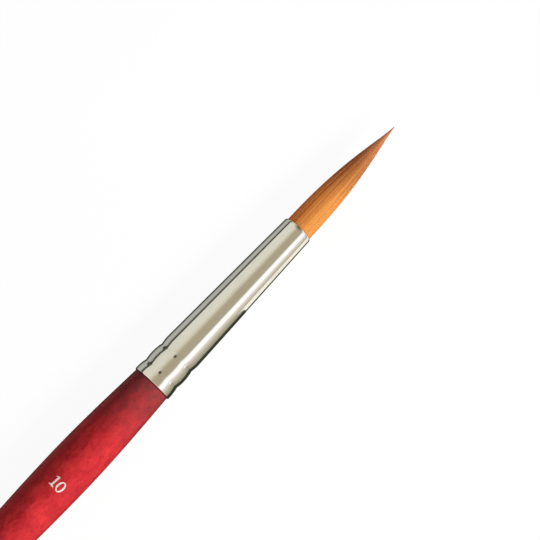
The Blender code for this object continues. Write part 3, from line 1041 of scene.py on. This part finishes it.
def hang_tent(studio):
    """A half round tent over the brush, mats beside it and a white card, seen only in reflections."""
    material = tent_finish()
    mesh = bmesh.new()
    ends = [mesh.verts.new((x, -TENT_RADIUS, MAT_HEIGHT)) for x in TENT_ENDS]
    line = mesh.edges.new(ends)
    bmesh.ops.spin(
        mesh, geom=ends + [line], axis=(1, 0, 0), cent=(0, 0, MAT_HEIGHT), angle=-math.pi, steps=TENT_STEPS
    )
    only_reflected(staged("light_tent", mesh, material))
    white, colour_in = glow("white_card")
    colour_in.default_value = (*studio.white_card, 1.0)
    end = studio.mat_end
    for name, low, high, near, far, height, finish in (
        ("left_mat", -MAT_HALF, MAT_HALF, MAT_GAP, TENT_RADIUS, MAT_HEIGHT, material),
        ("right_mat", -MAT_HALF, end, -TENT_RADIUS, -MAT_GAP, MAT_HEIGHT, material),
        ("far_mat", end, MAT_HALF, -TENT_RADIUS, -CARD_REACH, MAT_HEIGHT, material),
        ("narrow_mat", end, MAT_HALF, *NARROW_MAT, MAT_HEIGHT, material),
        ("white_card", end, MAT_HALF, -CARD_REACH, -MAT_GAP, MAT_HEIGHT / 2, white),
    ):
        mesh = bmesh.new()
        bmesh.ops.create_grid(mesh, x_segments=1, y_segments=1, size=0.5)
        bmesh.ops.scale(mesh, vec=(high - low, far - near, 1.0), verts=mesh.verts)
        shift = ((low + high) / 2, (near + far) / 2, height)
        bmesh.ops.translate(mesh, vec=shift, verts=mesh.verts)
        for vert in mesh.verts:
            if abs(vert.co.x - end) < MERGE:
                vert.co.x -= vert.co.y * studio.mat_slant
        only_reflected(staged(name, mesh, finish))


def hang_softbox(name, slope, along, distance, size, radiance):
    """A soft lamp that faces the brush's axis, at a slope from straight up towards -Y."""
    data = bpy.data.lights.new(name, "AREA")
    data.shape = "RECTANGLE"
    data.size, data.size_y = size
    data.energy = radiance * math.pi * data.size * data.size_y
    lamp = bpy.data.objects.new(name, data)
    away = Vector((0.0, -math.sin(slope), math.cos(slope)))
    lamp.location = Vector((along, 0.0, AXIS_Z)) + away * distance
    lamp.rotation_euler = (slope, 0.0, 0.0)
    lamp.visible_camera = False
    lamp.visible_glossy = False
    bpy.context.scene.collection.objects.link(lamp)
    return lamp


def set_lights(studio):
    """A long softbox on the -Y side, a small card that lights the hair's far side, and even light."""
    width = 2 * studio.key_distance * math.tan(studio.key_width / 2)
    size = (studio.key_length, width)
    hang_softbox(
        "key_softbox", studio.key_angle, studio.key_along, studio.key_distance, size, studio.key_radiance
    )
    middle = MOUTH_X + studio.card_from_mouth
    size = (studio.card_size, studio.card_size)
    card = hang_softbox(
        "hair_card", studio.card_angle, middle, studio.card_distance, size, studio.card_radiance
    )
    card.data.spread = CARD_SPREAD
    world = bpy.data.worlds.new("studio")
    world.use_nodes = True
    bpy.context.scene.world = world
    tree = world.node_tree
    tree.nodes.clear()
    strength = spread(tree, seen_directly(tree), 0.0, 1.0, studio.fill, 1.0)
    around = add(tree, "Background", {"Color": WHITE, "Strength": strength})
    add(tree, "OutputWorld", {"Surface": around.outputs["Background"]})


def set_camera(studio):
    """Looks down on the brush, leaning towards the handle, with the brush sloping up to the right."""
    data = bpy.data.cameras.new("camera")
    data.lens = studio.lens
    data.clip_end = 10.0
    back = Vector((-math.sin(studio.tilt), 0.0, math.cos(studio.tilt)))
    along = Vector((math.cos(studio.tilt), 0.0, math.sin(studio.tilt)))
    across = back.cross(along)
    right = math.cos(studio.roll) * along - math.sin(studio.roll) * across
    up = math.sin(studio.roll) * along + math.cos(studio.roll) * across
    aim = Vector((MOUTH_X - studio.aim_from_mouth, -studio.aim_aside, AXIS_Z))
    place = aim + back * (studio.view_width * data.lens / data.sensor_width)
    camera = bpy.data.objects.new("camera", data)
    turned = Matrix((right, up, back)).transposed().to_4x4()
    camera.matrix_world = Matrix.Translation(place) @ turned
    bpy.context.scene.collection.objects.link(camera)
    bpy.context.scene.camera = camera


class ROUND_BRUSH_OT_studio(bpy.types.Operator):
    """Lay the floor, hang the tent, and set the lights and the camera"""

    bl_idname = "round_brush.studio"
    bl_label = "Studio"

    def execute(self, context):
        studio = context.scene.brush_studio
        context.scene.view_settings.view_transform = "Standard"
        lay_floor(studio)
        hang_tent(studio)
        set_lights(studio)
        set_camera(studio)
        return {"FINISHED"}


GROUPS = {
    HandleSettings: "brush_handle",
    FerruleSettings: "brush_ferrule",
    TuftSettings: "brush_tuft",
    NumberSettings: "brush_number",
    StudioSettings: "brush_studio",
}
OPERATORS = (
    ROUND_BRUSH_OT_handle,
    ROUND_BRUSH_OT_ferrule,
    ROUND_BRUSH_OT_tuft,
    ROUND_BRUSH_OT_number,
    ROUND_BRUSH_OT_bonds,
    ROUND_BRUSH_OT_studio,
)


class ROUND_BRUSH_PT_sidebar(bpy.types.Panel):
    """The brush's operators and settings"""

    bl_idname = "ROUND_BRUSH_PT_sidebar"
    bl_label = "Round Brush"
    bl_space_type = "VIEW_3D"
    bl_region_type = "UI"
    bl_category = "Brush"

    def draw(self, context):
        for operator in OPERATORS:
            self.layout.operator(operator.bl_idname)
        for group, place in GROUPS.items():
            box = self.layout.box()
            box.label(text=group.__doc__)
            for name in group.__annotations__:
                label = name.replace("_", " ").capitalize()
                box.prop(getattr(context.scene, place), name, text=label)


def register():
    for group, name in GROUPS.items():
        bpy.utils.register_class(group)
        setattr(bpy.types.Scene, name, PointerProperty(type=group))
    for part in (*OPERATORS, ROUND_BRUSH_PT_sidebar):
        bpy.utils.register_class(part)


def unregister():
    for part in (ROUND_BRUSH_PT_sidebar, *reversed(OPERATORS)):
        bpy.utils.unregister_class(part)
    for group, name in reversed(GROUPS.items()):
        delattr(bpy.types.Scene, name)
        bpy.utils.unregister_class(group)


def main():
    register()
    bpy.ops.round_brush.handle()
    bpy.ops.round_brush.ferrule()
    bpy.ops.round_brush.tuft()
    bpy.ops.round_brush.number()
    bpy.ops.round_brush.bonds()
    bpy.ops.round_brush.studio()


if __name__ == "__main__":
    main()
